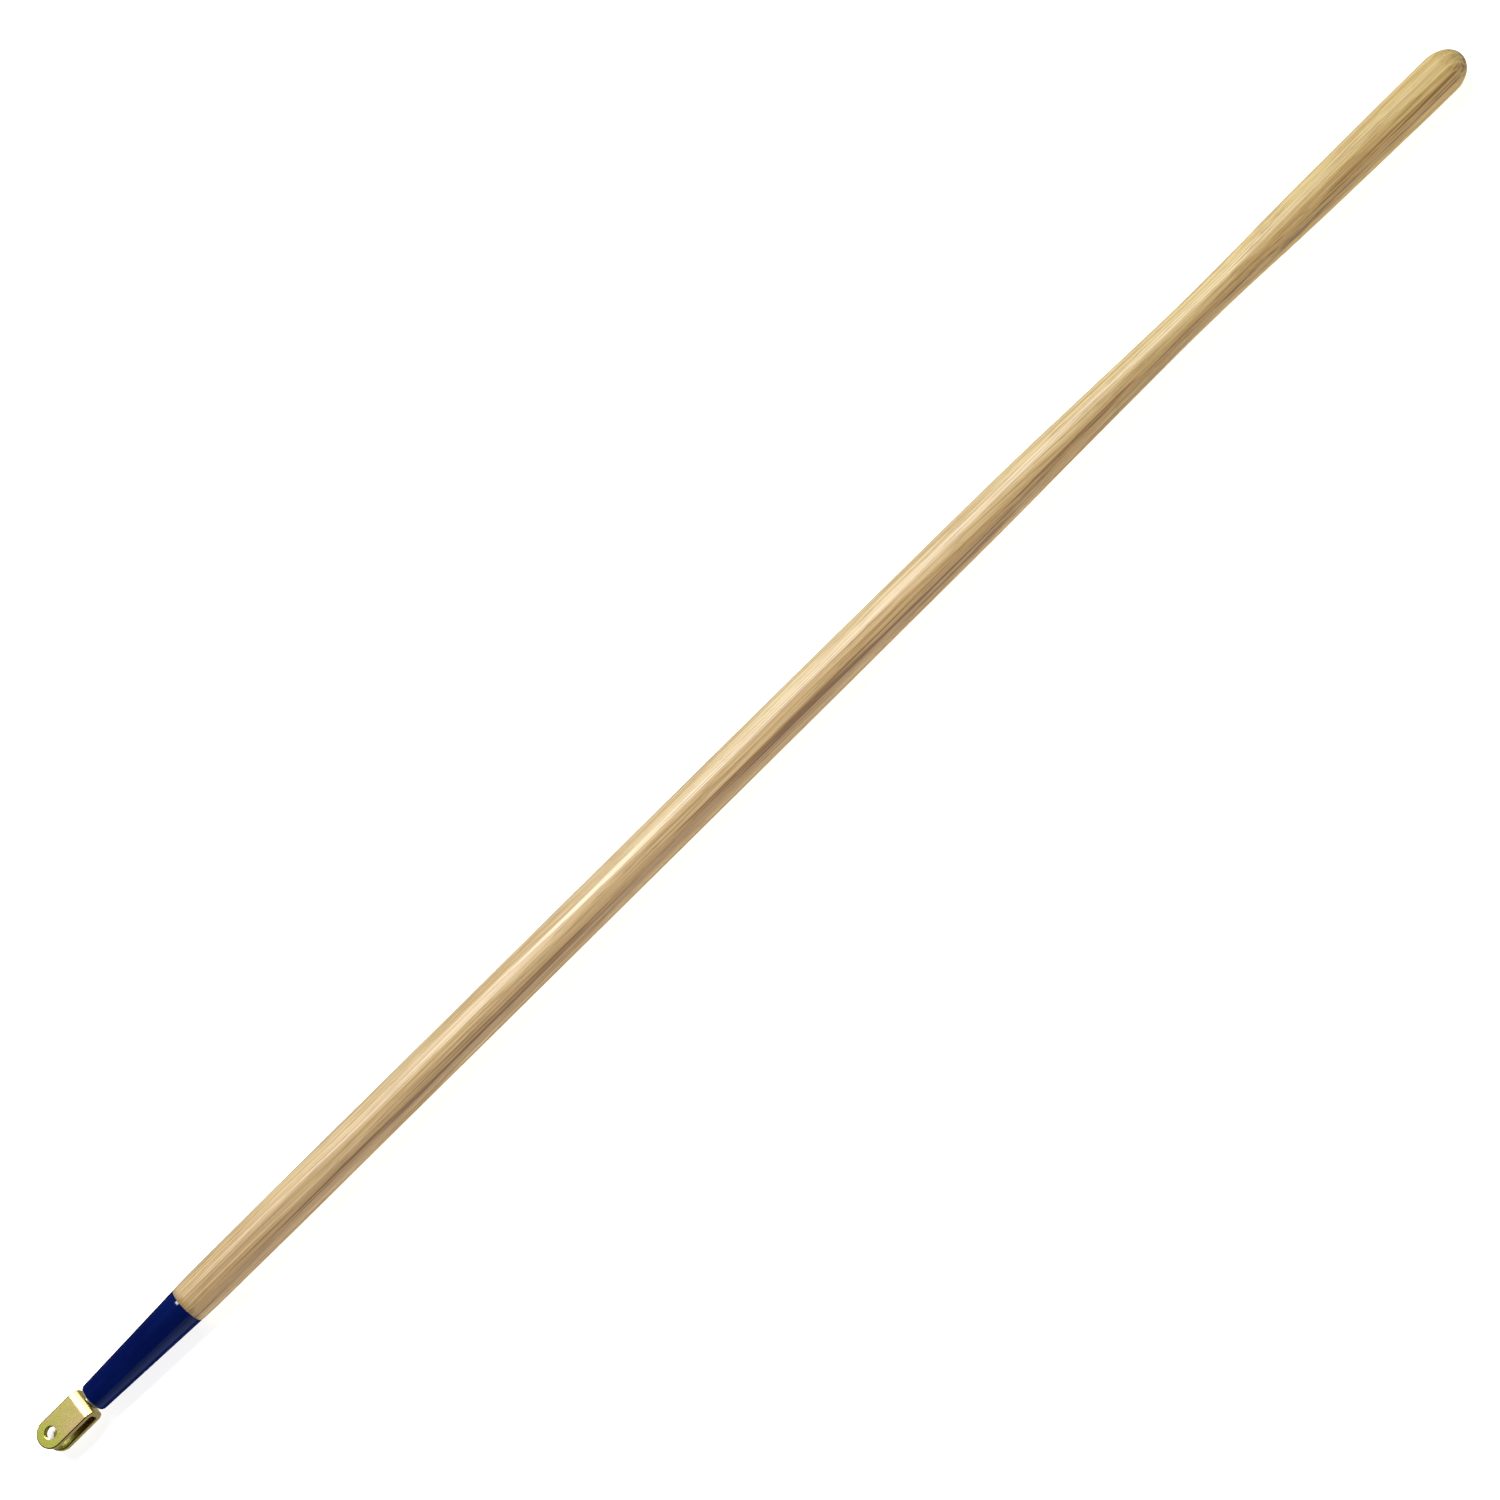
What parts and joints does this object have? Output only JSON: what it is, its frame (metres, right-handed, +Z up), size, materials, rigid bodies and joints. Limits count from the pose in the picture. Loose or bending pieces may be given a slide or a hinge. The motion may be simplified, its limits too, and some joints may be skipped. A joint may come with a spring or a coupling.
{
  "type": "mop handle",
  "caption": "Long turned wooden mop handle with a waisted domed grip, a dipped coloured tip and a steel clevis that swivels about the handle's axis.",
  "frame": {"origin": "centre of the clevis's cross bore, half way between its two legs", "axes": "+X along the handle from the clevis to the grip, +Z up along the cross bore, +Y across"},
  "size_m": [1.4184, 0.0353, 0.032],
  "materials": {
    "varnished_wood": "clear gloss varnish",
    "dipped_enamel": "gloss dipped enamel",
    "yellow_zinc_steel": "yellow chromate over zinc, tumbled",
    "bright_zinc_steel": "bright zinc plate",
    "screw_steel": "yellow zinc plate"
  },
  "bodies": {
    "handle": {"handle_shaft": "varnished_wood", "tip_coating": "dipped_enamel", "thrust_washer": "bright_zinc_steel", "swivel_screw": "screw_steel"},
    "clevis": {"clevis": "yellow_zinc_steel"}
  },
  "joints": [
    {"name": "clevis_swivel", "type": "hinge", "parent": "handle", "child": "clevis", "pos_m": [0, 0, 0], "axis": [1, 0, 0], "continuous": true}
  ]
}
